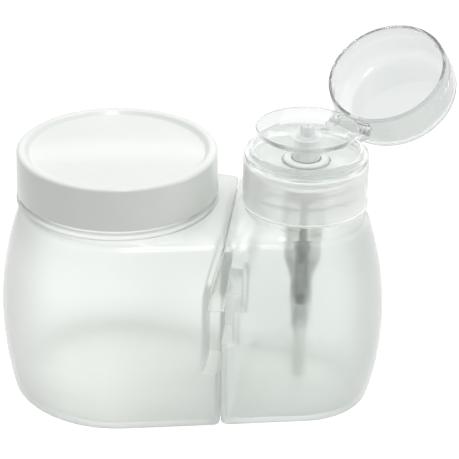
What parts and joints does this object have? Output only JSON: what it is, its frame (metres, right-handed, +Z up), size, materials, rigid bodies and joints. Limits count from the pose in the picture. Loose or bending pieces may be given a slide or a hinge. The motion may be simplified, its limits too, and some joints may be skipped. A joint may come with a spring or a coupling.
{
  "type": "cotton pad jar and pump bottle set",
  "caption": "Translucent screw-lid jar clipped to a bottle with a push-down pump, a clear press dish and a clear flip cap.",
  "frame": {"origin": "on the jar's axis, on the surface that the two containers stand on", "axes": "+X from the jar to the pump bottle, +Y away from the front, +Z up"},
  "size_m": [0.1569, 0.1081, 0.1193],
  "materials": {
    "frosted_plastic": "translucent, softly frosted",
    "white_plastic": "opaque, glossy",
    "foam": "fine closed-cell foam",
    "milky_plastic": "milky, satin",
    "clear_plastic": "clear, polished",
    "natural_plastic": "natural translucent, smooth",
    "grey_plastic": "smooth",
    "seal_rubber": "smooth",
    "steel": "drawn wire and polished balls"
  },
  "bodies": {
    "jar": {"jar_body": "frosted_plastic"},
    "liner": {"jar_lid_liner": "foam"},
    "lid": {"jar_lid": "white_plastic"},
    "bottle": {"bottle_body": "frosted_plastic"},
    "pump": {"neck_gasket": "foam", "pump_housing": "natural_plastic", "pump_cover": "natural_plastic", "ball_cage": "natural_plastic", "dip_tube": "natural_plastic", "top_ring": "clear_plastic", "return_spring": "steel"},
    "collar": {"screw_collar": "milky_plastic"},
    "cap": {"flip_cap": "clear_plastic"},
    "dish": {"press_dish": "clear_plastic", "outlet_nozzle": "natural_plastic", "pump_stem": "natural_plastic", "piston": "natural_plastic", "piston_seal": "seal_rubber", "plunger_rod": "grey_plastic"},
    "inlet_valve": {"inlet_ball": "steel"},
    "outlet_valve": {"outlet_ball": "steel"}
  },
  "joints": [
    {"name": "bottle_part", "type": "slide", "parent": "jar", "child": "bottle", "axis": [1, 0, 0], "range_m": [0, 0.04]},
    {"name": "lid_rise", "type": "slide", "parent": "jar", "child": "liner", "axis": [0, 0, 1], "range_m": [0, 0.016]},
    {"name": "lid_turn", "type": "hinge", "parent": "liner", "child": "lid", "pos_m": [0, 0, 0.08], "axis": [0, 0, 1], "range_deg": [0, 720]},
    {"name": "pump_rise", "type": "slide", "parent": "bottle", "child": "pump", "axis": [0, 0, 1], "range_m": [0, 0.0126]},
    {"name": "collar_turn", "type": "hinge", "parent": "pump", "child": "collar", "pos_m": [0.0649, 0, 0.083], "axis": [0, 0, 1], "range_deg": [0, 1080]},
    {"name": "cap_hinge", "type": "hinge", "parent": "pump", "child": "cap", "pos_m": [0.07868, 0.02205, 0.0932], "axis": [0.848, -0.5299, 0], "range_deg": [0, 146]},
    {"name": "dish_press", "type": "slide", "parent": "pump", "child": "dish", "axis": [0, 0, -1], "range_m": [0, 0.0054], "stiffness_N_per_m": 500, "springref_m": -0.004, "deforming": ["return_spring"]},
    {"name": "inlet_lift", "type": "slide", "parent": "pump", "child": "inlet_valve", "axis": [0, 0, 1], "range_m": [0, 0.0009]},
    {"name": "outlet_lift", "type": "slide", "parent": "dish", "child": "outlet_valve", "axis": [0, 0, 1], "range_m": [0, 0.0012]}
  ],
  "couplings": [
    {"joint": "lid_turn", "follows": "lid_rise", "rad_per_m": 785.4},
    {"joint": "collar_turn", "follows": "pump_rise", "rad_per_m": 1496}
  ]
}
